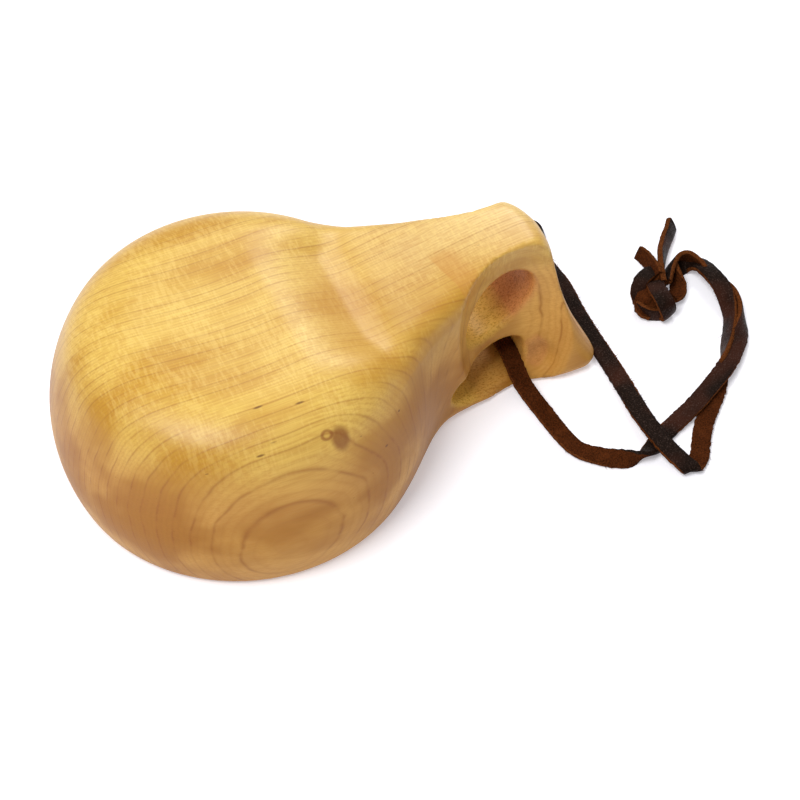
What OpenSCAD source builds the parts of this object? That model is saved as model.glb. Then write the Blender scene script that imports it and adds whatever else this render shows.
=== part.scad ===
// Carved wooden drinking cup (kuksa) with a two-hole grip and a knotted leather lace.
// It lies mouth down on the ground plane, with the grip along +X.
// The origin is on the ground, in the middle of the cup's length and width.

/* [Bowl] */
// Widest outer radius of the bowl
bowl_r = 50; // [46:0.5:54]
// Height of the cup, from the rim to the flat base
cup_h = 51.5; // [49:0.5:56]
// Height above the rim at which the bowl is widest
belly_z = 18; // [14:1:22]
// Outer radius of the rim
rim_r = 47; // [45:0.5:48]
// Outer radius that the belly curve reaches at the base, before its edge is rounded
base_r = 37.5; // [34:0.5:40]
// Rounding of the base's edge
base_edge = 7; // [4:0.5:9]
// Thickness of the wall at the belly
wall = 5; // [4:0.5:7]
// Thickness of the wood under the bowl
floor_t = 7; // [5:0.5:10]

/* [Grip] */
// Length of the whole cup, from the bowl's back to the tip of the grip
cup_len = 150; // [146:1:156]
// How far the end of the grip slants back from rim to crest
end_slant = 14; // [8:1:18]
// Depth of the hollow in the end of the grip
end_waist = 4; // [0:0.5:6]
// Rounding of the grip's end
end_round = 7; // [4:0.5:8]

/* [Neck] */
// Distance from the bowl's axis to the lowest point between the base and the neck
valley_x = 36; // [35:0.5:38]
// Height of that lowest point above the rim
valley_z = 46; // [45:0.5:48]
// Radius of the round hollow there
valley_r = 30; // [26:1:34]

/* [Finger dishes] */
// Distance from the bowl's axis to the deepest line of the dished sides
dish_x = 75.5; // [73:0.5:78]
// Radius of the dish, seen from above
dish_r = 25; // [22:0.5:30]
// Half thickness of the grip at the bottom of the dishes
dish_half = 7.5; // [7:0.5:9]
// Height of the deepest point of the dishes
dish_z = 34; // [30:1:38]
// Half height of the barrel-shaped cut that makes a dish
dish_c = 48; // [44:1:52]

/* [Finger holes] */
// Distance from the bowl's axis to the middle of the upper finger hole
upper_x = 70.5; // [69:0.5:72]
// Height of the upper finger hole's middle above the rim
upper_z = 30; // [30:0.5:31]
// Length of the upper finger hole
upper_w = 25; // [20:0.5:26]
// Height of the upper finger hole, across its length
upper_h = 17; // [15:0.5:17.5]
// Slope of the upper finger hole, rising towards the grip's end
upper_tilt = 40; // [0:5:45]
// Distance from the bowl's axis to the middle of the lower finger hole
lower_x = 66.5; // [65:0.5:68]
// Height of the lower finger hole's middle above the rim
lower_z = 9.5; // [9:0.5:10]
// Length of the lower finger hole
lower_w = 27; // [25:0.5:28]
// Height of the lower finger hole
lower_h = 12; // [9:0.5:12]

/* [Lace] */
// Width of the flat leather lace
lace_w = 5; // [4.5:0.5:6]
// Thickness of the lace
lace_t = 1.7; // [1.2:0.1:2]
// Height of the knot
knot_h = 8.5; // [8:0.5:10]

/* [Hidden] */

axis_x = bowl_r - cup_len / 2;          // place of the bowl's axis
tip_x = cup_len - bowl_r;               // the tip of the grip, from the bowl's axis
through = 60;                           // longer than the grip is thick
cut = 1;                                // how far a cutter runs past the solid
steps = 12;                             // points on each arc of the bowl's profiles

// The bowl's outer curve: one ellipse under the belly and another above it
lower_c = belly_z / sqrt(1 - pow(rim_r / bowl_r, 2));
upper_c = (cup_h - belly_z) / sqrt(1 - pow(base_r / bowl_r, 2));
function belly(z) = bowl_r * sqrt(1 - pow((z - belly_z) / (z < belly_z ? lower_c : upper_c), 2));
edge_z = cup_h - base_edge;

// The hollow is a squarish oval, fuller in its corners than an ellipse
hollow_power = 0.7;
hollow_r = bowl_r - wall;
hollow_top = cup_h - floor_t - belly_z;
hollow_rim_r = rim_r - wall + 0.5;

// Grip stations: [from the bowl's axis, half width at the rim, half width at the crest, crest height]
STATIONS = [
    [28, 30.5, 26, 44.5], [36, 27, 25, 46], [46, 21.5, 21.5, 46.5], [54, 18.5, 18, 47.5],
    [60, 17.5, 15.5, 48.5], [70, 17, 13, 50], [78, 17, 11.5, 50.5], [90, 18, 10.5, 50.5],
    [tip_x, 18, 10, 50.5]
];
grip_lift = 0.6;                        // the grip's underside clears the ground by this
low_round = 4;                          // rounding of the grip's lower edges
crest_round = 6;                        // rounding of the grip's crest
ring_steps = 4;                         // points on each rounded corner of a ring, less one
end_rings = 5;                          // rings in the rounding of the grip's end

// The lace's routes. Both strands start in the middle of the lower finger hole and end at the knot.
NEAR = [
    [51.4, 0, 6.6], [51.3, -6.5, 6.6], [51.1, -11.6, 5], [51, -16.4, 3.4], [51.8, -21.5, 2],
    [52.8, -28, 1.2], [53.6, -35.5, 1.2], [55.4, -42, 1.2], [58.9, -45.8, 1.2], [63.4, -49.4, 1.2], [68, -51.2, 1.2],
    [73.2, -49.8, 1.2], [78.5, -46.8, 1.2], [84, -44.5, 1.8], [89, -42, 3.2], [98, -38, 3.4],
    [107, -32, 3.4], [114, -25, 3.4], [118, -17, 3.4], [120, -9, 3.4], [120, -2, 3.4],
    [118, 4, 3.4], [114, 7, 3.4], [110, 4, 3.6], [106.8, 1, 4.4], [103.5, -1.8, 4.6]
];
FAR = [
    [51.4, 0, 6.6], [51.3, 7, 6.6], [51.5, 14, 5.6], [53, 20, 4], [56, 27, 1.6],
    [61, 33, 1.2], [67.5, 36.5, 1.2], [74, 37.5, 1.2], [78.8, 36, 1.2], [80.8, 31.5, 1.2],
    [79.4, 24, 1.2], [79, 13, 1.2], [78, 3, 1.2], [77.4, -7, 1.2], [77.3, -16, 1.2],
    [77, -24, 1.2], [76.6, -32, 1.6], [76, -39, 2.8], [75.8, -46, 3.6], [76.4, -53, 3.5], [77.5, -59, 2.4],
    [80.5, -61.5, 1.3], [84, -59.5, 1.2], [86, -55, 1.2], [90.5, -49, 1.2], [96, -43, 1.2],
    [102, -38, 1.2], [108.5, -32, 1.2], [114.5, -25, 1.2], [118, -17, 1.2], [120, -9, 1.2],
    [120, -2, 1.2], [118, 4, 1.2], [114, 7, 1.2], [110, 4, 1.4], [106.8, 1, 2.3],
    [103.5, -1.8, 2.5]
];
TAIL_LONG = [[98, 0.2, 2.5], [98.8, 4.5, 2.3], [102, 9, 1.4], [108, 13, 1.2], [117, 20, 1.2]];
TAIL_SHORT = [[98, 0.2, 4.7], [97.2, 4.5, 4.5], [98, 9, 3.6], [101, 14, 3.4]];

KNOT = [99, -5.5];                      // middle of the knot
knot_r = 5.8;                           // from the knot's middle to its flat sides
knot_turn = 40;                         // heading of the side that the strands meet
knot_bevel = 1.5;
meet = 0.1;                             // the paper-thin gap where lace pieces meet the knot

// Straight-line look-up in a table of [x, ...] rows
function span(x, i = 0) = i >= len(STATIONS) - 2 || x < STATIONS[i + 1][0] ? i : span(x, i + 1);
function look(x, k) =
    let (i = span(x), a = STATIONS[i], b = STATIONS[i + 1])
    a[k] + (b[k] - a[k]) * (x - a[0]) / (b[0] - a[0]);

// The grip's end: upright at the foot, then slanting back to the crest, with a hollow between
function end_x(z) =
    let (t = max(0, min(1, (z - low_round) / (cup_h - low_round))))
    tip_x - end_slant * t - end_waist * sin(180 * t);

// One ring of the grip: a tapered, round-cornered section, drawn in by inset
function corner(y, z, r, from) =
    [for (k = [0:ring_steps]) let (a = from + 90 * k / ring_steps) [y + r * cos(a), z + r * sin(a)]];
function section(x, inset) =
    let (low = look(x, 1) - inset, high = look(x, 2) - inset, top = look(x, 3) - inset,
         c = min(crest_round, high - 0.5), b = low_round, under = grip_lift + inset / 2 + b)
    concat(corner(low - b, under, b, -90), corner(high - c, top - c, c, 0),
           corner(c - high, top - c, c, 90), corner(b - low, under, b, 180));
function ring(x, inset) =
    [for (p = section(x, inset))
        let (run = (x - STATIONS[0][0]) / (tip_x - STATIONS[0][0]))
        [STATIONS[0][0] + (end_x(p[1]) - STATIONS[0][0]) * run, -p[0], p[1]]];
ring_xs = concat(
    [for (x = [STATIONS[0][0]:4:tip_x - end_round - 2]) [x, 0]],
    [for (k = [0:end_rings]) let (a = 90 * k / end_rings)
        [tip_x - end_round * (1 - sin(a)), end_round * (1 - cos(a))]]);

// Skin of a stack of rings of n points each, closed by a fan at both ends
function middle(r) = [for (k = [0:2]) (min([for (p = r) p[k]]) + max([for (p = r) p[k]])) / 2];
function skin(rings, n) =
    let (m = len(rings))
    concat(
        [for (i = [0:m - 2], k = [0:n - 1]) let (j = (k + 1) % n)
            each [[i * n + k, i * n + j, (i + 1) * n + j], [i * n + k, (i + 1) * n + j, (i + 1) * n + k]]],
        [for (k = [0:n - 1]) [m * n, (k + 1) % n, k]],
        [for (k = [0:n - 1]) [m * n + 1, (m - 1) * n + k, (m - 1) * n + (k + 1) % n]]);
module stack(rings) {
    n = len(rings[0]);
    m = len(rings);
    points = concat([for (r = rings) each r], [middle(rings[0]), middle(rings[m - 1])]);
    polyhedron(points, skin(rings, n));
}

// The lace's section, flat side down: half width and half thickness with eased corners
function lace_section() =
    let (w = lace_w / 2, t = lace_t / 2, e = 0.6)
    [[w, -t / 2], [w, t / 2], [w - e, t], [e - w, t], [-w, t / 2], [-w, -t / 2], [e - w, -t], [w - e, -t]];
function unit(v) = v / norm(v);
function heading(route, i) =
    unit(route[min(i + 1, len(route) - 1)] - route[max(i - 1, 0)]);
function strap_ring(route, i) =
    let (d = heading(route, i), side = unit([d[1], -d[0], 0]), up = cross(side, d))
    [for (p = lace_section()) route[i] + side * p[0] + up * p[1]];
module strap(route) {
    stack([for (i = [0:len(route) - 1]) strap_ring(route, i)]);
}

module bowl_outside() {
    rotate_extrude($fn = 96)
        polygon(concat(
            [[0, 0]],
            [for (k = [0:steps]) let (z = edge_z * k / steps) [belly(z), z]],
            [for (k = [1:steps]) let (a = 90 * k / steps, z = edge_z + base_edge * sin(a))
                [belly(z) - base_edge * (1 - cos(a)), z]],
            [[0, cup_h]]));
}

module bowl_hollow() {
    rotate_extrude($fn = 96)
        polygon(concat(
            [[0, -cut], [hollow_rim_r, -cut], [hollow_rim_r, 0]],
            [for (k = [0:steps - 1]) let (a = 90 * k / steps)
                [hollow_r * pow(cos(a), hollow_power),
                 belly_z + hollow_top * pow(sin(a), hollow_power)]],
            [[0, belly_z + hollow_top]]));
}

module grip() {
    stack([for (r = ring_xs) ring(r[0], r[1])]);
}

// A barrel on an upright axis; its side cuts one dish
module dish_cutter() {
    rotate_extrude($fn = 72)
        polygon(concat(
            [[0, -cut]],
            [for (k = [0:steps]) let (z = -cut + (cup_h + 2 * cut) * k / steps)
                [dish_r * sqrt(1 - pow((z - dish_z) / dish_c, 2)), z]],
            [[0, cup_h + cut]]));
}

// The base falls away into a shallow round hollow before the neck rises
module neck_valley() {
    translate([valley_x, 0, valley_z + valley_r])
        sphere(r = valley_r, $fn = 96);
}

// A round-ended slot that runs through the grip from side to side
module finger_hole(x, z, w, h, tilt) {
    translate([x, through / 2, z])
        rotate([90, 0, 0])
            linear_extrude(height = through)
                rotate([0, 0, tilt])
                    union() {
                        square([w - h, h], center = true);
                        for (side = [-1, 1])
                            translate([side * (w - h) / 2, 0])
                                circle(d = h, $fn = 48);
                    }
}

module cup() {
    color("burlywood")
        translate([axis_x, 0, 0])
            difference() {
                union() {
                    bowl_outside();
                    grip();
                }
                bowl_hollow();
                neck_valley();
                for (side = [-1, 1])
                    translate([dish_x, side * (dish_half + dish_r), 0])
                        dish_cutter();
                finger_hole(upper_x, upper_z, upper_w, upper_h, upper_tilt);
                finger_hole(lower_x, lower_z, lower_w, lower_h, 0);
            }
}

module lace_near() {
    color("saddlebrown")
        strap(NEAR);
}

module lace_far() {
    color("saddlebrown")
        strap(FAR);
}

// A six-sided lump whose sides stand square to the strands and to the tails
module lace_knot() {
    color("saddlebrown")
        translate([KNOT[0], KNOT[1], 0])
            rotate([0, 0, knot_turn + 30])
                hull() {
                    cylinder(h = knot_h - knot_bevel, r = (knot_r - meet) / cos(30), $fn = 6);
                    cylinder(h = knot_h, r = (knot_r - knot_bevel) / cos(30), $fn = 6);
                }
}

module lace_tail_long() {
    color("saddlebrown")
        strap(TAIL_LONG);
}

module lace_tail_short() {
    color("saddlebrown")
        strap(TAIL_SHORT);
}

cup();
lace_near();
lace_far();
lace_knot();
lace_tail_long();
lace_tail_short();
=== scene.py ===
import math
import bpy
import numpy as np
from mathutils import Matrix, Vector, noise


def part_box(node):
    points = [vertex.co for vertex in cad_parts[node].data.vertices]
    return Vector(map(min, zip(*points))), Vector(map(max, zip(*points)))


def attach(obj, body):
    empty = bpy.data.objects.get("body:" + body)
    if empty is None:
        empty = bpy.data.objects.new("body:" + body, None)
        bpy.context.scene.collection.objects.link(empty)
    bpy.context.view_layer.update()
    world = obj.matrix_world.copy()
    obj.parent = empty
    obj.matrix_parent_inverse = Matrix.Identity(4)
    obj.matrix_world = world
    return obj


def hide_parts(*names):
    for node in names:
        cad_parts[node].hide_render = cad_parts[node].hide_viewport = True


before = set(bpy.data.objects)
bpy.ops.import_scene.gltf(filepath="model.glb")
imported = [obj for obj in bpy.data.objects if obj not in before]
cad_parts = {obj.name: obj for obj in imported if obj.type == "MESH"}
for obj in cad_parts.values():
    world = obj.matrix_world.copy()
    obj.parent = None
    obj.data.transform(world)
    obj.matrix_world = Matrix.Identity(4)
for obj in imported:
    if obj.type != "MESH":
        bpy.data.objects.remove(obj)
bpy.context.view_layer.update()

MM = 0.001
rng = np.random.default_rng(7)
scene = bpy.context.scene


# ---------------------------------------------------------------- camera
def aim(ob, at, to):
    """Turns a camera or light that stands at one point towards another."""
    ob.rotation_mode = "QUATERNION"
    ob.rotation_quaternion = (Vector(to) - Vector(at)).to_track_quat("-Z", "Y")


CAM_AT = (-0.1235, -0.3177, 0.4241)
CAM_TO = (0.0122, -0.0199, 0.0200)
cam_data = bpy.data.cameras.new("camera")
cam_data.lens = 88.9
cam_data.sensor_width = 36.0
cam = bpy.data.objects.new("camera", cam_data)
cam.location = CAM_AT
aim(cam, CAM_AT, CAM_TO)
scene.collection.objects.link(cam)
scene.camera = cam
scene.view_settings.view_transform = "Standard"
scene.view_settings.look = "None"


# ---------------------------------------------------------------- node graphs
class Graph:
    """A material's node tree with short ways to add nodes."""

    def __init__(self, name):
        self.material = bpy.data.materials.new(name)
        self.material.use_nodes = True
        self.tree = self.material.node_tree
        self.tree.nodes.clear()
        out = self.tree.nodes.new("ShaderNodeOutputMaterial")
        self.shader = self.tree.nodes.new("ShaderNodeBsdfPrincipled")
        self.tree.links.new(self.shader.outputs[0], out.inputs[0])

    def put(self, socket, value):
        """Links a socket to another, or sets its value."""
        if isinstance(value, bpy.types.NodeSocket):
            self.tree.links.new(value, socket)
        elif isinstance(value, tuple) and len(value) == 3 and socket.type == "RGBA":
            socket.default_value = (*value, 1.0)
        else:
            socket.default_value = value

    def set(self, name, value):
        """Sets one input of the surface shader."""
        self.put(self.shader.inputs[name], value)

    def node(self, kind, inputs=(), **settings):
        n = self.tree.nodes.new(kind)
        for key, value in settings.items():
            setattr(n, key, value)
        for key, value in dict(inputs).items():
            self.put(n.inputs[key], value)
        return n

    def math(self, operation, a, b=0.0):
        return self.node("ShaderNodeMath", {0: a, 1: b}, operation=operation).outputs[0]

    def add(self, a, b):
        return self.math("ADD", a, b)

    def sub(self, a, b):
        return self.math("SUBTRACT", a, b)

    def mul(self, a, b):
        return self.math("MULTIPLY", a, b)

    def bell(self, value, spread):
        """1 where value is 0, and falling to 0 on either side."""
        return self.math("EXPONENT", self.mul(self.mul(value, value), -1 / spread))

    def vec(self, operation, a, b):
        n = self.node("ShaderNodeVectorMath", {0: a, 1: b}, operation=operation)
        return n.outputs[1] if operation == "DISTANCE" else n.outputs[0]

    def distance(self, point, centre, stretch):
        """The distance from centre, with each axis measured at its own scale."""
        scaled_centre = tuple(c * s for c, s in zip(centre, stretch))
        return self.vec("DISTANCE", self.vec("MULTIPLY", point, stretch), scaled_centre)

    def noise(self, vector, scale, detail=2.0, rough=0.5):
        """Smooth noise of about 0.5; scale is one number or one for each axis, per mm."""
        if isinstance(scale, tuple):
            vector = self.vec("MULTIPLY", vector, scale)
            scale = 1.0
        inputs = {"Vector": vector, "Scale": scale, "Detail": detail, "Roughness": rough}
        return self.node("ShaderNodeTexNoise", inputs).outputs["Fac"]

    def ramp(self, value, stops):
        """A number that follows stops of place and height."""
        n = self.node("ShaderNodeValToRGB", {"Fac": value})
        elements = n.color_ramp.elements
        while len(elements) < len(stops):
            elements.new(0.5)
        for k, (at, height) in enumerate(stops):
            elements[k].position = at
            elements[k].color = (height, height, height, 1.0)
        return n.outputs[0]

    def step(self, value, low, high):
        """0 at low and beyond, 1 at high and beyond, and smooth between."""
        inputs = {"Value": value, "From Min": low, "From Max": high}
        return self.node("ShaderNodeMapRange", inputs, interpolation_type="SMOOTHSTEP").outputs[0]

    def mix(self, share, a, b):
        n = self.node("ShaderNodeMix", data_type="RGBA")
        self.put(n.inputs[0], share)
        self.put(n.inputs[6], a)
        self.put(n.inputs[7], b)
        return n.outputs[2]

    def attribute(self, name):
        return self.node("ShaderNodeAttribute", attribute_name=name).outputs["Fac"]

    def position(self):
        """The point in mm, in the part's frame."""
        point = self.node("ShaderNodeTexCoord").outputs["Object"]
        return self.vec("MULTIPLY", point, (1000.0, 1000.0, 1000.0))

    def bump(self, height, strength, distance):
        inputs = {"Strength": strength, "Distance": distance, "Height": height}
        self.set("Normal", self.node("ShaderNodeBump", inputs).outputs[0])


def srgb(r, g, b):
    """A colour given as it looks on a screen, in linear light."""
    return tuple(c / 255 / 12.92 if c <= 10 else ((c / 255 + 0.055) / 1.055) ** 2.4 for c in (r, g, b))


# ---------------------------------------------------------------- wood
# widths in mm: of a year of growth, of the thin lines' spacing, and of the nested ovals
YEAR = 2.7
THIN_YEAR = 0.9
OVALS_SPREAD = 22.0
# places in mm in the part's frame: the pin knot and its flame, the middle of the ovals on the near
# flank, two zones of painted shade on the base, and the small dark flecks
PIN = (-17.0, -41.1, 45.2)
PIN_STRETCH = (0.8, 1.0, 1.0)
FLAME_AT = (-13.6, -42.3, 44.0)
OVALS_X = -5.0
OVALS_Z = 18.0
SHADE_AT = (1.5, -12.0, 48.0)
SHADE_BY_NECK_AT = (18.0, -15.0, 42.5)
FLECKS = [
    (-30.5, -30.5, 51), (-20.5, -33, 50.5), (-30.5, -39.5, 47.5),
    (-34, -40.5, 45.5), (-1, -41.5, 33), (5, -35.5, 37),
]

# pairs of colours are the light and the dark patches of one ground
GOLD = (srgb(216, 180, 86), srgb(190, 142, 42))
FLANK = (srgb(186, 130, 62), srgb(146, 88, 32))
PINK_END_GRAIN = (srgb(200, 134, 82), srgb(156, 90, 50))
GREEN_END_GRAIN = (srgb(230, 188, 92), srgb(188, 142, 54))
CREST_SHEEN = srgb(238, 212, 146)
GRIP_FACE_PAINTED_LIGHT = srgb(220, 168, 88)
YEAR_LINE = srgb(136, 78, 22)
THIN_LINE = srgb(146, 88, 30)
FIBRE = srgb(172, 112, 42)
BASE_SHEEN = srgb(250, 222, 132)
SHADE = srgb(186, 132, 38)
SHADE_BY_NECK = srgb(172, 124, 40)
FLAT_CUT_AND_SHADE = srgb(184, 124, 48)
FLAME = srgb(130, 74, 26)
PIN_EYE = srgb(130, 70, 26)
DASH = srgb(90, 50, 20)
FLECK = srgb(94, 52, 18)


def growth_lines(g, p, x, y, z, to_pin):
    """Year lines and the thin lines between them. The growth layers are sheets of nearly constant y,
    slightly wavy, bowed so that they show as ovals on the near flank, and lifted over the pin knot."""
    wave = g.mul(g.sub(g.noise(p, (0.008, 0.02, 0.02), 1.0), 0.5), 6.0)
    fine_wave = g.mul(g.sub(g.noise(p, (0.03, 0.10, 0.10), 2.0), 0.5), 1.5)
    along = g.add(g.mul(g.sub(x, OVALS_X), 0.80), g.mul(g.sub(z, OVALS_Z), 0.55))
    bow = g.mul(g.sub(g.bell(along, 2 * OVALS_SPREAD ** 2), 1.0), 5.8)
    lift = g.mul(g.bell(to_pin, 22.0), -0.9)
    layer = g.add(g.add(g.add(y, g.mul(z, -0.10)), g.add(wave, fine_wave)), g.add(lift, bow))
    year = g.math("FRACT", g.mul(g.add(layer, 0.9), 1 / YEAR))
    line = g.ramp(year, [(0.0, 0.55), (0.06, 0.1), (0.45, 0.0), (0.86, 0.30), (0.95, 1.0), (1.0, 0.55)])
    strength = g.step(g.noise(g.vec("ADD", p, (0, 300, 0)), (0.012, 0.22, 0.22), 1.0), 0.35, 0.62)
    line = g.mul(line, g.add(g.mul(strength, 0.8), 0.2))
    thin_year = g.math("FRACT", g.mul(layer, 1 / THIN_YEAR))
    thin = g.ramp(thin_year, [(0.0, 0.3), (0.5, 0.0), (0.9, 1.0), (1.0, 0.3)])
    return line, thin


def ground_colour(g, p, x, y, z, tan):
    """Golden on the base; pinkish tan on the flanks, darker towards the table, partly the wood's
    tone and partly painted shade; a pale painted sheen on the crest of the neck and the grip;
    and painted light on the face of the grip round the finger holes."""
    patches = g.noise(p, (0.022, 0.05, 0.05), 3.0)
    patch = g.step(patches, 0.38, 0.62)
    sheen_patch = g.step(patches, 0.4, 0.6)
    gold = g.mix(patch, *GOLD)
    flank = g.mix(patch, *FLANK)
    # painted sheen: the crest of the neck and the grip made pale in patches
    crest = g.mul(g.mul(g.step(x, 2.0, 30.0), g.step(z, 42.0, 49.0)), g.step(y, -16.0, 6.0))
    gold = g.mix(g.mul(crest, g.add(g.mul(sheen_patch, 0.3), 0.3)), gold, CREST_SHEEN)
    # darker towards the table: the wood's pinkish tan together with painted shade on the steep flanks
    colour = g.mix(g.mul(tan, 0.75), gold, flank)
    # painted light on the near face of the grip round the finger holes
    face = g.mul(g.mul(g.step(x, 50.0, 56.0), g.step(y, 0.0, -4.0)), g.step(z, 44.0, 38.0))
    return g.mix(g.mul(face, 0.5), colour, GRIP_FACE_PAINTED_LIGHT)


def grain_colour(g, p, z, tan, line, thin, fibre, colour):
    """Growth lines, the fibres along x, and painted sheen in bands across them on the top of the base."""
    colour = g.mix(g.mul(line, g.add(g.mul(tan, 0.16), 0.46)), colour, YEAR_LINE)
    colour = g.mix(g.mul(thin, 0.17), colour, THIN_LINE)
    colour = g.mix(g.mul(g.step(fibre, 0.40, 0.66), 0.30), colour, FIBRE)
    # painted sheen: bright bands across the fibres on the top of the base
    bands = g.noise(p, (1.5, 0.30, 0.30), 2.0, 0.6)
    sheen = g.mul(bands, g.add(g.noise(p, (0.10, 0.05, 0.05), 2.0), 0.5))
    sheen = g.mul(g.step(sheen, 0.42, 0.72), g.step(z, 36.0, 50.0))
    return g.mix(g.mul(sheen, 0.18), colour, BASE_SHEEN)


def carved_colour(g, p, x, y, z, colour):
    """Painted shade where the base falls away and beside the neck; the flat cut where the neck meets
    the grip's dish, darker partly from its end grain and partly as painted shade; and the end grain
    inside the finger holes."""
    # painted shade where the base falls away, and a second patch of it beside the neck
    shade = g.step(g.distance(p, SHADE_AT, (1.0, 0.45, 0.3)), 14.0, 3.0)
    colour = g.mix(g.mul(shade, 0.5), colour, SHADE)
    shade = g.step(g.distance(p, SHADE_BY_NECK_AT, (0.7, 1.0, 0.4)), 11.0, 3.0)
    colour = g.mix(g.mul(shade, 0.4), colour, SHADE_BY_NECK)
    # how far a point lies past the flat cut's straight front edge
    past_edge = g.add(g.mul(g.sub(x, 29.1), 0.979), g.mul(g.sub(y, 0.3), 0.205))
    cut = g.mul(g.step(past_edge, 0.0, 0.5), g.step(past_edge, 9.0, 4.0))
    cut = g.mul(cut, g.mul(g.step(y, 1.5, -1.5), g.step(z, 36.0, 42.0)))
    cut = g.mul(cut, g.step(y, -17.0, -14.5))
    # the flat cut: darker partly from its own end-grain tone and partly as painted shade of a face turned
    # from the light
    colour = g.mix(g.mul(cut, 0.45), colour, FLAT_CUT_AND_SHADE)
    speck = g.noise(p, (1.2, 2.0, 2.0), 3.0, 0.8)
    pink = g.mix(g.step(speck, 0.42, 0.68), *PINK_END_GRAIN)
    green = g.mix(g.step(speck, 0.48, 0.62), *GREEN_END_GRAIN)
    colour = g.mix(g.mul(g.attribute("inner_right"), 0.85), colour, pink)
    return g.mix(g.mul(g.attribute("inner_left"), 0.85), colour, green)


def marks_colour(g, p, to_pin, colour):
    """The pin knot with its dark flame, short dashes along the grain, and the flecks."""
    flame = g.step(g.distance(p, FLAME_AT, (1.0, 1.0, 0.6)), 3.4, 1.6)
    colour = g.mix(g.mul(flame, 0.8), colour, FLAME)
    eye = g.ramp(g.mul(to_pin, 0.5), [(0.0, 0.0), (0.25, 0.15), (0.45, 1.0), (0.62, 0.9), (0.8, 0.0)])
    colour = g.mix(g.mul(eye, 0.7), colour, PIN_EYE)
    dashes = g.step(g.noise(p, (0.25, 1.1, 1.1), 1.0), 0.80, 0.84)
    colour = g.mix(g.mul(dashes, 0.6), colour, DASH)
    for at in FLECKS:
        fleck = g.step(g.distance(p, at, (0.65, 2.6, 2.6)), 1.1, 0.4)
        colour = g.mix(g.mul(fleck, 0.75), colour, FLECK)
    return colour


def wood_material():
    """Oiled light birch: pale and golden, with growth lines, end grain and a pin knot."""
    g = Graph("oiled_wood")
    p = g.position()
    x, y, z = g.node("ShaderNodeSeparateXYZ", {0: p}).outputs
    to_pin = g.distance(p, PIN, PIN_STRETCH)
    # the flanks' share, growing towards the table: the wood's tan and painted shade on the steep flanks
    tan = g.step(z, 52.0, 29.0)
    fibre = g.noise(p, (0.06, 2.2, 2.2), 3.0, 0.6)
    line, thin = growth_lines(g, p, x, y, z, to_pin)
    colour = ground_colour(g, p, x, y, z, tan)
    colour = grain_colour(g, p, z, tan, line, thin, fibre, colour)
    colour = carved_colour(g, p, x, y, z, colour)
    g.set("Base Color", marks_colour(g, p, to_pin, colour))
    g.set("Roughness", g.add(g.mul(fibre, 0.12), 0.36))
    g.set("Specular IOR Level", g.add(g.mul(g.step(z, 18.0, 46.0), 0.22), 0.14))
    g.set("Coat Weight", g.mul(g.step(z, 20.0, 44.0), 0.08))
    g.set("Coat Roughness", 0.26)
    g.bump(g.add(g.mul(fibre, 0.5), g.mul(line, 0.4)), 0.25, 0.0002)
    return g.material


# ---------------------------------------------------------------- leather
GRAIN_SIDE = (srgb(24, 15, 11), srgb(54, 28, 19))
GRAIN_PEBBLE = srgb(70, 46, 38)
SUEDE_SIDE = (srgb(40, 18, 7), srgb(84, 42, 18))
SUEDE_WORN = srgb(100, 52, 24)
CUT_EDGE = srgb(128, 74, 36)


def leather_material():
    """Dark pebbled grain where the attribute flesh is 0, brown suede where it is 1, and lighter suede
    where cut is 1."""
    g = Graph("lace_leather")
    p = g.position()
    flesh = g.attribute("flesh")
    pebble = g.noise(p, 2.6, 2.0, 0.6)
    nap = g.noise(p, 2.5, 3.0, 0.7)
    grain = g.mix(g.step(g.noise(p, 0.06, 2.0), 0.42, 0.62), *GRAIN_SIDE)
    grain = g.mix(g.mul(g.step(pebble, 0.5, 0.7), 0.30), grain, GRAIN_PEBBLE)
    suede = g.mix(g.step(nap, 0.3, 0.7), *SUEDE_SIDE)
    suede = g.mix(g.mul(g.step(g.noise(p, 0.35, 2.0), 0.45, 0.8), 0.4), suede, SUEDE_WORN)
    suede = g.mix(g.mul(g.mul(g.attribute("cut"), g.step(nap, 0.3, 0.6)), 0.4), suede, CUT_EDGE)
    g.set("Base Color", g.mix(flesh, grain, suede))
    g.set("Roughness", g.add(g.mul(flesh, 0.5), 0.42))
    gloss = g.add(g.mul(g.step(pebble, 0.55, 0.72), 0.30), 0.04)
    g.set("Specular IOR Level", g.mul(gloss, g.sub(1.0, g.mul(flesh, 0.7))))
    g.set("Specular Tint", (0.88, 0.72, 0.6))
    height = g.add(g.mul(g.mul(pebble, g.sub(1.0, flesh)), 0.8), g.mul(nap, flesh))
    g.bump(height, 0.8, 0.0005)
    return g.material


# ---------------------------------------------------------------- mesh helpers
def mesh_object(name, verts, faces, material, normals=None):
    """A shaded mesh piece that rides with the cup. verts are in metres in the part's frame."""
    mesh = bpy.data.meshes.new(name)
    mesh.from_pydata([tuple(v) for v in verts], [], [tuple(f) for f in faces])
    mesh.materials.append(material)
    mesh.shade_smooth()
    if normals is not None:
        mesh.normals_split_custom_set_from_vertices([tuple(n) for n in normals])
    ob = bpy.data.objects.new(name, mesh)
    scene.collection.objects.link(ob)
    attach(ob, "root")
    return ob


def fill_attribute(ob, name, domain, values):
    """Gives each point or face of a mesh a number that its material reads."""
    attribute = ob.data.attributes.new(name, "FLOAT", domain)
    attribute.data.foreach_set("value", np.asarray(values, dtype=np.float32))


def unit(vectors):
    """Each row of vectors made one long."""
    return vectors / np.linalg.norm(vectors, axis=1)[:, None]


# ---------------------------------------------------------------- lace
# all in mm; the faces of a strap's section are counted from the left end of its grain side
LACE_W = 5.0
LACE_T = 1.6
LACE_PITCH = 0.6
GRAIN_FACES = range(6)
ROUGH_EDGE = (0, 14, 15)
OTHER_EDGE = (6, 7)
EDGE_RAG = 0.18
TABLE_GAP = 0.05


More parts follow.
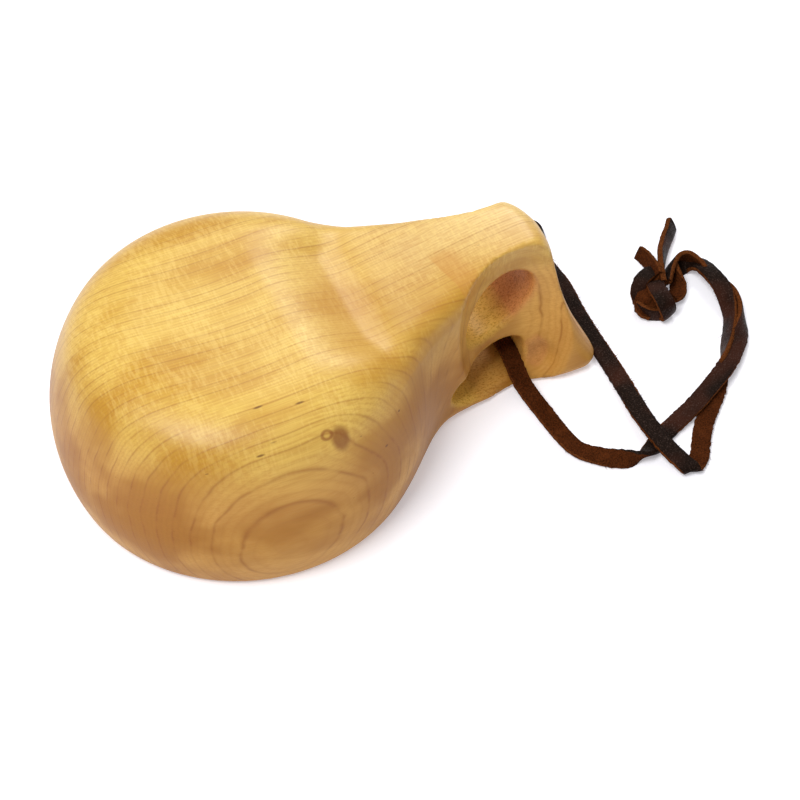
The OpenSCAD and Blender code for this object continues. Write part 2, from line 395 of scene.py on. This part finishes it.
def rung_of(row, ahead):
    """The direction across the lace at a row."""
    if len(row) > 4:
        heading = math.radians(row[4])
        side = np.array([math.cos(heading), math.sin(heading), 0.0])
    else:
        side = np.array([ahead[1], -ahead[0], 0.0])
        side /= np.linalg.norm(side)
    up = np.cross(side, ahead)
    roll = math.radians(row[3])
    return side * math.cos(roll) + up * math.sin(roll)


def smooth_rows(rows):
    """Points along a lace, about LACE_PITCH apart, with the directions across and along it there. A row
    is x, y, z, roll and sometimes the rung's own heading, in mm and degrees; roll 0 lays the grain up."""
    points = np.array([row[:3] for row in rows], float)
    ahead = unit(np.gradient(points, axis=0))
    rungs = np.array([rung_of(row, d) for row, d in zip(rows, ahead)])
    both = np.hstack([points, rungs * 3.0])
    longer = np.vstack([2 * both[0] - both[1], both, 2 * both[-1] - both[-2]])
    out = []
    for a, b, c, d in zip(longer, longer[1:], longer[2:], longer[3:]):
        n = max(2, int(round(np.linalg.norm(c[:3] - b[:3]) / LACE_PITCH)))
        for t in np.arange(n) / n:
            out.append(0.5 * (2 * b + (c - a) * t + (2 * a - 5 * b + 4 * c - d) * t * t
                              + (3 * b - a - 3 * c + d) * t ** 3))
    out.append(both[-1])
    out = np.array(out)
    line, rung = out[:, :3], out[:, 3:]
    ahead = unit(np.gradient(line, axis=0))
    rung -= ahead * np.sum(rung * ahead, axis=1)[:, None] * 0.6
    return line, unit(rung), ahead


def strap_section():
    """The strap's outline in shares of its width and thickness: grain side, edge, suede side, edge."""
    across = np.array([-1, -0.87, -0.45, 0, 0.45, 0.87, 1])
    crown = (1 - np.abs(across) ** 4) * 0.16
    grain = [(a * 0.5, 0.36 + c) for a, c in zip(across, crown)]
    suede = [(a * 0.49, -0.42 - c * 0.5) for a, c in zip(across[::-1], crown)]
    return grain + [(0.53, 0.0)] + suede + [(-0.53, 0.0)]


def rough(seed, along, layer):
    """Smooth noise from -1 to 1 along a lace."""
    return noise.noise(Vector((seed, along, layer)))


def strap_verts(line, rung, normal, ahead, seed, width, thick, slant):
    """One ring of the section for each point of the line, with ragged edges and a slanted end."""
    section = strap_section()
    verts = []
    for i in range(len(line)):
        edge = [rough(seed + side, i * 0.45, 0.0) + 0.6 * rough(seed + side, i * 1.7, 4.0)
                for side in (0.0, 30.0)]
        for k, (a, b) in enumerate(section):
            side = math.copysign(1.0, a)
            across, up, run_on = width * a, thick * b, 0.0
            if abs(a) > 0.45:
                across += side * EDGE_RAG * edge[0 if a < 0 else 1] * (1.0 if b > 0 else 1.5)
            if b < 0.3:
                up += 0.10 * rough(seed + k * 0.9, i * 0.8, 9.0)
            if i == len(line) - 1:
                run_on = abs(slant) * (0.5 + math.copysign(1.0, slant) * a)
                run_on += 0.4 * abs(rough(seed + k * 2.1, 3.0, 7.0))
            verts.append((line[i] + rung[i] * across + normal[i] * up + ahead[i] * run_on) * MM)
    return verts


def strap_faces(rings, dyed):
    """Faces between the rings and over both ends, with 1 for suede and 1 for a cut edge, for each."""
    n = len(strap_section())
    faces, flesh, cut = [], [], []
    for i in range(rings - 1):
        strip_shows = i <= dyed * rings
        other_edge_dark = i < dyed * rings
        for k in range(n):
            j = (k + 1) % n
            faces.append((i * n + k, i * n + j, (i + 1) * n + j, (i + 1) * n + k))
            on_grain = k in GRAIN_FACES and not (k in ROUGH_EDGE and strip_shows)
            dark = on_grain or (k in OTHER_EDGE and other_edge_dark)
            flesh.append(0.0 if dark else 1.0)
            cut.append(1.0 if k in ROUGH_EDGE + OTHER_EDGE else 0.0)
    last = (rings - 1) * n
    faces.append(tuple(range(n)))
    faces.append(tuple(last + k for k in reversed(range(n))))
    return faces, flesh + [1.0, 1.0], cut + [1.0, 1.0]


def loose_fibres(line, rung, normal, ahead, width, thick, fray, torn_end):
    """Thin spikes on the edges, most of them on the rough one, and a brush of them at a torn end.
    Each spike is three root points and a tip."""
    spikes = []
    for i in range(3, len(line)):
        at_end = torn_end and i > len(line) - 3
        for _ in range(12 if at_end else 1):
            if rng.random() > (0.9 if at_end else fray):
                continue
            if at_end:
                side = rng.uniform(-1, 1)
            else:
                side = 1.0 if rng.random() < 0.2 else -1.0
            root = line[i] + rung[i] * side * width * 0.49
            root = root + normal[i] * thick * rng.uniform(-0.4, 0.3)
            way = rung[i] * side * 0.7 + ahead[i] * rng.uniform(0.2 if at_end else -0.9, 0.9)
            way = way + normal[i] * rng.uniform(-0.3, 0.5)
            tip = root + way * (0.6 + rng.exponential(0.4))
            spikes.append([root + ahead[i] * 0.09, root - ahead[i] * 0.09, root + normal[i] * 0.14, tip])
    return spikes


def strap(name, rows, width=LACE_W, thick=LACE_T, fray=0.3, slant=0.0, dyed=0.0):
    """A length of flat leather along rows: smooth grain on one side, rough suede on the other.
    fray is the chance of a loose fibre at each row; slant is how far one corner of the end runs on;
    dyed is the share of the length over which a strip of suede shows beside the grain on the rough
    edge, and the other edge is as dark as the grain."""
    line, rung, ahead = smooth_rows(rows)
    normal = unit(np.cross(rung, ahead))
    seed = sum(map(ord, name))
    verts = strap_verts(line, rung, normal, ahead, seed, width, thick, slant)
    faces, flesh, cut = strap_faces(len(line), dyed)
    for spike in loose_fibres(line, rung, normal, ahead, width, thick, fray, slant != 0.0):
        base = len(verts)
        verts += [point * MM for point in spike]
        faces += [(base, base + 1, base + 3), (base + 1, base + 2, base + 3), (base + 2, base, base + 3)]
        flesh += [1.0] * 3
        cut += [1.0] * 3
    for v in verts:
        v[2] = max(v[2], TABLE_GAP * MM)
    ob = mesh_object(name, verts, faces, leather)
    fill_attribute(ob, "flesh", "FACE", flesh)
    fill_attribute(ob, "cut", "FACE", cut)
    length = float(np.sum(np.linalg.norm(np.diff(line, axis=0), axis=1)))
    return ob, line * MM, length * MM


# the strand that leaves the lower hole on the near side
NEAR = [
    (51.4, 0, 6.6, 180), (51.3, -6.5, 6.6, 180), (51.1, -11.6, 5.0, 180), (51.0, -16.4, 3.4, 181),
    (51.8, -21.5, 2.0, 182), (52.6, -27, 1.3, 184), (53.2, -32.5, 1.2, 185),
    (53.9, -37.6, 1.2, 186), (55.4, -42, 1.2, 184), (58.9, -45.8, 1.4, 170),
    (62.4, -48.8, 1.8, 146), (65.4, -50.6, 2.2, 118), (68.0, -51.4, 2.3, 84),
    (70.4, -51.0, 1.9, 48), (73.2, -49.8, 1.4, 20), (77, -47.6, 1.2, 4), (80.8, -45.8, 1.3, 0),
    (85.6, -44, 1.8, 0), (91.2, -42, 2.9, 0), (98.6, -38.2, 3.3, 0), (105.8, -33.8, 3.2, -5),
    (111.6, -28.9, 3.0, -15), (115.9, -24.4, 3.0, -40), (118.8, -20, 3.1, -70),
    (120.4, -15.8, 3.1, -85), (121.2, -11, 3.0, -85), (120.6, -6.6, 2.7, -75),
    (119.2, -3.6, 2.6, -72), (118.4, -1.2, 3.0, -75), (117.8, 2.4, 3.6, -82),
    (116.2, 6.0, 3.8, -82), (113.4, 6.8, 3.6, -78), (110.4, 5.4, 3.6, -66),
    (107.4, 2.6, 3.7, -60), (104.4, -0.8, 4.2, -50),
]
# the strand that leaves it on the far side, runs round the grip and folds back
FAR = [
    (51.4, 0, 6.6, 180), (51.3, 7, 6.6, 165), (51.5, 14, 5.6, 70), (53, 20, 4.0, 10),
    (56, 27, 1.8, 0), (61, 33, 1.4, 5), (68, 37, 1.8, 25), (75, 38.4, 2.6, 60),
    (80.2, 37.2, 3.0, 78), (82.0, 33.4, 3.2, 76), (80.4, 28.6, 2.6, 55), (78.3, 22.9, 1.8, 18),
    (78.7, 13, 1.5, 3), (77.8, 3, 1.4, 0), (77.4, -7, 1.4, 0), (77.3, -16, 1.4, -5),
    (77.0, -24, 1.7, -10), (76.3, -32, 2.4, -12), (75.6, -39, 3.3, -8), (75.6, -45.5, 3.7, 0),
    (76.3, -52.3, 3.6, 0), (77.9, -57.8, 2.9, 0, 183), (79.3, -60.6, 2.1, 0, 167),
    (81.0, -59.4, 1.2, 0, 150), (83.8, -57.2, 1.2, 180), (86.6, -53.2, 1.2, 180),
    (90.2, -48.4, 1.2, 180), (94.4, -44.2, 1.2, 180), (99, -39.8, 1.2, 178),
    (103, -35.4, 1.4, 140), (107, -30.6, 2.0, 88), (110.6, -25.9, 2.4, 62),
    (113.8, -21.8, 2.8, 58), (116.0, -18.4, 3.2, 56), (117.4, -14.4, 4.0, 46),
    (118.2, -9.6, 5.2, 16), (118.0, -4.0, 5.4, 0), (117.6, 1.6, 4.0, 0), (116.0, 5.0, 1.6, 8),
    (113.8, 5.4, 1.4, 35), (111.6, 4.0, 1.9, 75), (109.8, 1.4, 2.0, 115), (108.6, -1.8, 1.8, 150),
    (106.8, -4.0, 2.0, 165), (104.5, -4.6, 2.6, 175),
]
TAIL_LONG = [
    (103.2, -1.6, 5.4, -95), (104.6, 2.1, 5.8, -95), (106.8, 5.7, 5.0, -80),
    (110.0, 10.5, 4.0, -66), (113.4, 14.5, 3.4, -60), (116.2, 17.3, 3.2, -58),
    (118.0, 19.4, 3.0, -56),
]
TAIL_SHORT = [
    (102.4, 0.6, 6.6, -125), (103.2, 3.9, 6.3, -122), (103.8, 7.6, 5.4, -118),
    (104.0, 10.8, 4.6, -116), (103.7, 12.9, 4.2, -114),
]
# the lengths of lace that show in the knot: name, width and rows
KNOT = [
    ("lace_knot_front", 5.4, [
        (101.2, 0.4, 4.6, 0, 176), (101.0, -0.9, 6.6, 0, 176), (99.8, -4.0, 7.8, 0, 172),
        (99.4, -7.4, 8.2, 0, 172), (99.6, -10.1, 7.0, 0, 180), (100.2, -10.9, 4.6, 0, 192),
        (100.6, -10.4, 2.2, 0, 203), (100.4, -8.0, 1.2, 0, 205),
    ]),
    ("lace_knot_crest", 4.4, [
        (105.0, 3.8, 4.0, 0), (103.0, 3.8, 6.4, 0), (99.6, 2.6, 7.4, 0), (96.8, 1.1, 6.8, 0),
        (95.2, -0.9, 5.0, 0), (95.2, -2.6, 2.8, 0),
    ]),
    ("lace_knot_left", 4.6, [
        (101.6, -1.2, 5.0, 180), (98.6, -2.2, 5.8, 180), (96.2, -3.2, 5.2, 180),
        (94.8, -4.4, 3.8, 180), (94.6, -5.8, 2.4, 180), (96.2, -7.0, 1.4, 180),
    ]),
    ("lace_knot_foot", 4.6, [
        (93.6, -3.4, 2.5, -90), (94.6, -6.4, 2.5, -90), (96.4, -8.4, 2.5, -90),
        (99.0, -9.6, 2.5, -90),
    ]),
    ("lace_knot_core", 6.5, [
        (103.4, 1.0, 2.4, 180), (100.4, -1.4, 4.4, 180), (98.2, -3.8, 4.6, 180),
        (97.0, -6.6, 3.2, 180),
    ]),
]
KNOT_SCALE = 0.94
KNOT_MIDDLE = (100.0, -3.5, 0.0)


def drawn_tight(rows):
    """Rows of the knot pulled in towards its middle."""
    tight = []
    for row in rows:
        place = [m + (v - m) * KNOT_SCALE for v, m in zip(row, KNOT_MIDDLE)]
        tight.append((*place, *row[3:]))
    return tight


leather = leather_material()
near, near_line, near_length = strap("lace_near_strand", NEAR, dyed=0.45)
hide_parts("lace_near")
far, far_line, far_length = strap("lace_far_strand", FAR, fray=0.6, dyed=0.5)
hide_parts("lace_far")
tail_long, _, _ = strap("lace_long_tail", TAIL_LONG, width=4.1, thick=2.0, fray=0.6, slant=-1.6)
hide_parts("lace_tail_long")
tail_short, _, _ = strap("lace_short_tail", TAIL_SHORT, width=4.4, fray=0.5, slant=0.8)
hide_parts("lace_tail_short")
for name, width, rows in KNOT:
    piece, _, _ = strap(name, drawn_tight(rows), width=width * KNOT_SCALE)
    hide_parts("lace_knot")

# ---------------------------------------------------------------- cup: sizes, in mm from the bowl's axis
CUP_H = 51.5
BOWL_R = 50.0
BELLY_Z = 18.0
RIM_R = 47.0
BASE_R = 37.5
BASE_ROUND = 9.0
# the hollow is widest at the belly and squarer above it
HOLLOW_R = 45.0
HOLLOW_TOP = 26.5
HOLLOW_POWER = 2 / 0.7
HOLLOW_RIM = 42.5
RIM_ROUND = 2.5
# the base falls away towards the neck, between two distances from the axis
FALL = 7.0
FALL_FROM = 10.0
FALL_TO = 38.0
# neck and grip: half widths at the table and at the top, and the height of the top
TIP_X = 100.0
SPINE = dict(
    x=[12, 20, 28, 36, 46, 54, 60, 70, 78, 90, 100],
    low=[36, 34, 30.5, 27, 21.5, 18.5, 17.5, 17, 17.2, 18, 18],
    high=[27, 27, 26, 25, 21.5, 18, 15.5, 12.8, 11.5, 10.5, 10],
    top=[26, 40, 44.6, 45.9, 46.6, 47.5, 48.6, 50.1, 50.8, 51, 51],
)
DISH_AT = (75.5, 32.5, 34.0)
DISH_SIZE = (25.0, 25.0, 48.0)
SCOOP_AT = (82.0, 16.6, 9.5)
SCOOP_SIZE = (5.5, 6.0, 6.5)
# finger holes: middle in x and z, half length, half height and slant in degrees
UPPER = (70.9, 30.1, 12.0, 8.4, 37.0)
LOWER = (66.4, 9.6, 12.6, 6.2, 0.0)
LOWER_SQUARE = 4.0
BETWEEN_HOLES_Z = 16.5
GRID = 1.0
MARGIN = 2.0
cup_low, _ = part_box("cup")
AXIS = np.array([cup_low[0] / MM + BOWL_R, 0.0, 0.0])


# ---------------------------------------------------------------- cup: the carved form
def soft_min(a, b, k):
    """The smaller of a and b, rounded over a width of k where they meet."""
    share = np.clip(0.5 + 0.5 * (b - a) / k, 0, 1)
    return b + (a - b) * share - k * share * (1 - share)


def soft_max(a, b, k):
    """The larger of a and b, rounded in the same way."""
    return -soft_min(-a, -b, k)


def ramp_up(v, low, high):
    """0 at low and below, 1 at high and above, and straight between."""
    return np.clip((v - low) / (high - low), 0, 1)


def ease(t):
    """A share from 0 to 1 that starts and stops gently."""
    return t * t * (3 - 2 * t)


def smooth_table(v, xs, ys):
    """The smooth curve through the points of a table, read at v."""
    xs, ys = np.array(xs, float), np.array(ys, float)
    slope = np.gradient(ys, xs)
    v = np.clip(v, xs[0], xs[-1])
    i = np.clip(np.searchsorted(xs, v, side="right") - 1, 0, len(xs) - 2)
    gap = xs[i + 1] - xs[i]
    t = (v - xs[i]) / gap
    return ((2 * t**3 - 3 * t**2 + 1) * ys[i] + (t**3 - 2 * t**2 + t) * gap * slope[i]
            + (3 * t**2 - 2 * t**3) * ys[i + 1] + (t**3 - t**2) * gap * slope[i + 1])


def oval(offsets, radii, power=2.0):
    """About the distance outside an ellipsoid, or a squarer one when power is more than 2."""
    q = sum(np.abs(o / r) ** power for o, r in zip(offsets, radii)) ** (1 / power) + 1e-9
    steep = sum((np.abs(o / r) ** (power - 1) / r) ** 2 for o, r in zip(offsets, radii))
    return (q - 1) * q ** (power - 1) / (np.sqrt(steep) + 1e-9)


def half_height(height, radius, radius_there):
    """The half height of an ellipse of this radius that has radius_there at a height."""
    return height / math.sqrt(1 - (radius_there / radius) ** 2)


def bowl_outer(x, y, z):
    """About the distance outside the bowl, without its hollow. The base falls away towards the neck."""
    above = half_height(CUP_H - BELLY_Z, BOWL_R, BASE_R)
    below = half_height(BELLY_Z, BOWL_R, RIM_R)
    side = oval((np.hypot(x, y), z - BELLY_Z), (BOWL_R, np.where(z > BELLY_Z, above, below)))
    towards_neck = ease(ramp_up(x, FALL_FROM, FALL_TO))
    in_middle = 1 - ease(ramp_up(np.abs(y + 2), 14, 30))
    return soft_max(side, z - CUP_H + FALL * towards_neck * in_middle, BASE_ROUND)


def bowl_hollow(x, y, z):
    """About the distance outside the bowl's hollow."""
    r = np.hypot(x, y)
    below = half_height(BELLY_Z, HOLLOW_R, HOLLOW_RIM)
    upper = oval((r, np.maximum(z - BELLY_Z, 0)), (HOLLOW_R, HOLLOW_TOP), HOLLOW_POWER)
    lower = oval((r, z - BELLY_Z), (HOLLOW_R, below))
    return np.where(z > BELLY_Z, upper, lower)


def grip_end(y, z):
    """Where the slanted end of the grip stands: hollowed in the middle of its height, and cut back
    on the far side and at the upper corner."""
    up = ramp_up(z, 4, CUP_H)
    end = TIP_X - 13 * up - 3.5 * np.sin(np.pi * up)
    end = end - 1.8 * ramp_up(y, 0, 8) * ramp_up(z, 10, 30)
    return end - 1.8 * ramp_up(up, 0.55, 1) ** 2


def grip(x, y, z):
    """About the distance outside neck and grip; the crest is sharper on the near side of the grip."""
    low, high, top = (smooth_table(x, SPINE["x"], SPINE[key]) for key in ("low", "high", "top"))
    half_width = low + (high - low) * ramp_up(z, 0, CUP_H)
    sharper = smooth_table(x, [58, 66, 74, 84], [0, 0.7, 1, 0.6]) * ramp_up(-y, 0, 6)
    f = soft_max((np.abs(y) - half_width) * 0.96, z - top, 7.0 - 3.5 * sharper)
    f = soft_max(f, 0.6 - z, 4.0)
    f = soft_max(f, (x - grip_end(y, z)) * 0.95, 5.5)
    return np.maximum(f, SPINE["x"][0] - x)


def along_hole(x, z, hole):
    """The place along and across a slanted hole, from its middle."""
    cx, cz, _, _, slant = hole
    c, s = math.cos(math.radians(slant)), math.sin(math.radians(slant))
    return (x - cx) * c + (z - cz) * s, (z - cz) * c - (x - cx) * s


def slot(x, z, hole, square_end=2.0):
    """About the distance outside a slanted oval hole, whose end towards +X may be squarer."""
    offsets = along_hole(x, z, hole)
    radii = hole[2:4]
    return np.where(offsets[0] > 0, oval(offsets, radii, square_end), oval(offsets, radii))


def side_oval(x, y, z, at, size):
    """About the distance outside an ellipsoid that stands on both sides of the cup."""
    return oval((x - at[0], np.abs(y) - at[1], z - at[2]), size)


def cup_field(p):
    """Below zero in the wood. p is in mm from the bowl's axis."""
    x, y, z = p[..., 0], p[..., 1], p[..., 2]
    blend = 8.0 - 6.0 * ramp_up(z, 40, 46)
    f = soft_min(bowl_outer(x, y, z), grip(x, y, z), blend)
    f = soft_max(f, -side_oval(x, y, z, DISH_AT, DISH_SIZE), 0.6)
    f = soft_max(f, -slot(x, z, UPPER), 1.8)
    f = soft_max(f, -slot(x, z, LOWER, LOWER_SQUARE), 2.0)
    f = soft_max(f, -side_oval(x, y, z, SCOOP_AT, SCOOP_SIZE), 1.2)
    f = soft_max(f, -bowl_hollow(x, y, z), RIM_ROUND)
    return soft_max(f, -z, 2.0)


def gradient(p, reach=0.05):
    """The slope of cup_field at each point."""
    slopes = [cup_field(p + reach * axis) - cup_field(p - reach * axis) for axis in np.eye(3)]
    return np.stack(slopes, -1) / (2 * reach)


# ---------------------------------------------------------------- cup: the mesh
def sample_field(axes):
    """cup_field at each point of a grid."""
    field = np.empty([len(a) for a in axes])
    y, z = np.meshgrid(axes[1], axes[2], indexing="ij")
    for i, x in enumerate(axes[0]):
        field[i] = cup_field(np.stack([np.full_like(y, x), y, z], -1))
    return field


def neighbours(grid, axis):
    """A grid without its last and without its first layer, so that neighbours pair up."""
    before = [slice(None)] * 3
    after = [slice(None)] * 3
    before[axis] = slice(None, -1)
    after[axis] = slice(1, None)
    return grid[tuple(before)], grid[tuple(after)]


def cell_points(field):
    """For each cell of the grid, the number of its edges that the surface crosses, and the mean of
    the crossings, as shares of the cell."""
    cells = tuple(n - 1 for n in field.shape)
    total, count = np.zeros(cells + (3,)), np.zeros(cells)
    for axis in range(3):
        here, there = neighbours(field, axis)
        cross = (here < 0) != (there < 0)
        share = np.where(cross, here / np.where(cross, here - there, 1.0), 0.0)
        j, k = (a for a in range(3) if a != axis)
        for dj, dk in ((0, 0), (0, 1), (1, 0), (1, 1)):
            edge = [slice(None)] * 3
            edge[j] = slice(dj, cells[j] + dj)
            edge[k] = slice(dk, cells[k] + dk)
            crossed = cross[tuple(edge)]
            total[..., axis] += np.where(crossed, share[tuple(edge)], 0)
            total[..., j] += crossed * dj
            total[..., k] += crossed * dk
            count += crossed
    return count, total / np.maximum(count, 1)[..., None]


def cell_quads(field, index):
    """A quad across each edge of the grid that the surface crosses, facing out of the wood."""
    faces = []
    for axis in range(3):
        here, there = (part < 0 for part in neighbours(field, axis))
        u, v = (axis + 1) % 3, (axis + 2) % 3
        at = np.argwhere(here != there)
        inner = [(at[:, a] > 0) & (at[:, a] < field.shape[a] - 1) for a in (u, v)]
        at = at[inner[0] & inner[1]]
        to_u, to_v = np.eye(3, dtype=int)[u], np.eye(3, dtype=int)[v]
        quad = np.stack([index[tuple(q.T)] for q in (at - to_u - to_v, at - to_v, at, at - to_u)], -1)
        outward = here[tuple(at.T)][:, None]
        faces.append(np.where(outward, quad, quad[:, ::-1]))
    return np.vstack(faces)


def surface_net(low, high, step):
    """Quads round the zero level of cup_field, with one vertex in each cell that the surface crosses."""
    axes = [np.arange(a, b + step, step) for a, b in zip(low, high)]
    field = sample_field(axes)
    count, share = cell_points(field)
    used = count > 0
    index = np.full(used.shape, -1)
    index[used] = np.arange(np.count_nonzero(used))
    verts = np.array([a[0] for a in axes]) + (np.argwhere(used) + share[used]) * step
    return verts, cell_quads(field, index)


def settle(verts):
    """The vertices moved onto the surface, and the surface's own normals there."""
    for _ in range(4):
        slope = gradient(verts)
        steep = np.maximum(np.sum(slope * slope, -1), 0.2)
        verts = verts - slope * (cup_field(verts) / steep)[:, None]
    slope = gradient(verts)
    return verts, slope / np.maximum(np.linalg.norm(slope, axis=1), 1e-6)[:, None]


def end_grain(verts):
    """Where the pink and the speckled green end grain show: the two ends of each finger hole's wall,
    and a faint pink patch in the scoop beside the lower hole."""
    x, y, z = verts.T
    in_hole = np.minimum(slot(x, z, UPPER), slot(x, z, LOWER))
    in_hole = ramp_up(-in_hole, -1.5, 0)
    upper = ramp_up(along_hole(x, z, UPPER)[0] / UPPER[2], -0.45, 0.05)
    lower = ramp_up(along_hole(x, z, LOWER)[0] / LOWER[2], -0.5, -0.2) * 0.5
    pink = np.where(z > BETWEEN_HOLES_Z, upper, lower)
    patch = oval((x - SCOOP_AT[0], z - SCOOP_AT[2]), (4.0, 5.6))
    patch = np.clip(-patch * 1.2, 0, 1) * (np.abs(y) > 6) * 0.5
    return np.maximum(pink * in_hole, patch), (1 - pink) * in_hole


corner = (-BOWL_R - MARGIN, -BOWL_R - MARGIN, -MARGIN)
far_corner = (TIP_X + MARGIN, BOWL_R + MARGIN, CUP_H + MARGIN)
cup_verts, cup_faces = surface_net(corner, far_corner, GRID)
cup_verts, cup_normals = settle(cup_verts)
cup = mesh_object("cup_carved", (cup_verts + AXIS) * MM, cup_faces, wood_material(), cup_normals)
pink, green = end_grain(cup_verts)
fill_attribute(cup, "inner_right", "POINT", pink)
fill_attribute(cup, "inner_left", "POINT", green)
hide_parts("cup")


# ---------------------------------------------------------------- floor and light
TABLE_HALF = 4.0


def table_top():
    """A white matt table, which glows a little to stand for the light round it."""
    g = Graph("white_table")
    g.set("Base Color", (0.80, 0.80, 0.83))
    g.set("Roughness", 0.9)
    g.set("Specular IOR Level", 0.1)
    g.set("Emission Color", (0.96, 0.94, 1.0))
    g.set("Emission Strength", 0.30)
    mesh = bpy.data.meshes.new("table_top")
    corners = [(-1, -1), (1, -1), (1, 1), (-1, 1)]
    mesh.from_pydata([(TABLE_HALF * x, TABLE_HALF * y, 0) for x, y in corners], [], [(0, 1, 2, 3)])
    mesh.materials.append(g.material)
    ob = bpy.data.objects.new("table_top", mesh)
    scene.collection.objects.link(ob)
    return ob


def white_world(strength):
    """Even white light from all round."""
    world = bpy.data.worlds.new("world")
    scene.world = world
    world.use_nodes = True
    background = world.node_tree.nodes["Background"]
    background.inputs[0].default_value = (1.0, 1.0, 1.0, 1)
    background.inputs[1].default_value = strength


def area_light(name, at, to, size, power):
    """A rectangular light at one point, facing another; size in metres, power in watts."""
    data = bpy.data.lights.new(name, "AREA")
    data.shape = "RECTANGLE"
    data.size, data.size_y = size
    data.energy = power
    ob = bpy.data.objects.new(name, data)
    ob.location = at
    aim(ob, at, to)
    scene.collection.objects.link(ob)


floor = table_top()
white_world(0.42)
area_light("key", (-0.42, -0.18, 1.0), (0, 0, 0.02), (0.5, 0.5), 9.4)
area_light("back", (0.5, 0.7, 0.8), (0, 0, 0), (0.5, 0.4), 6.0)
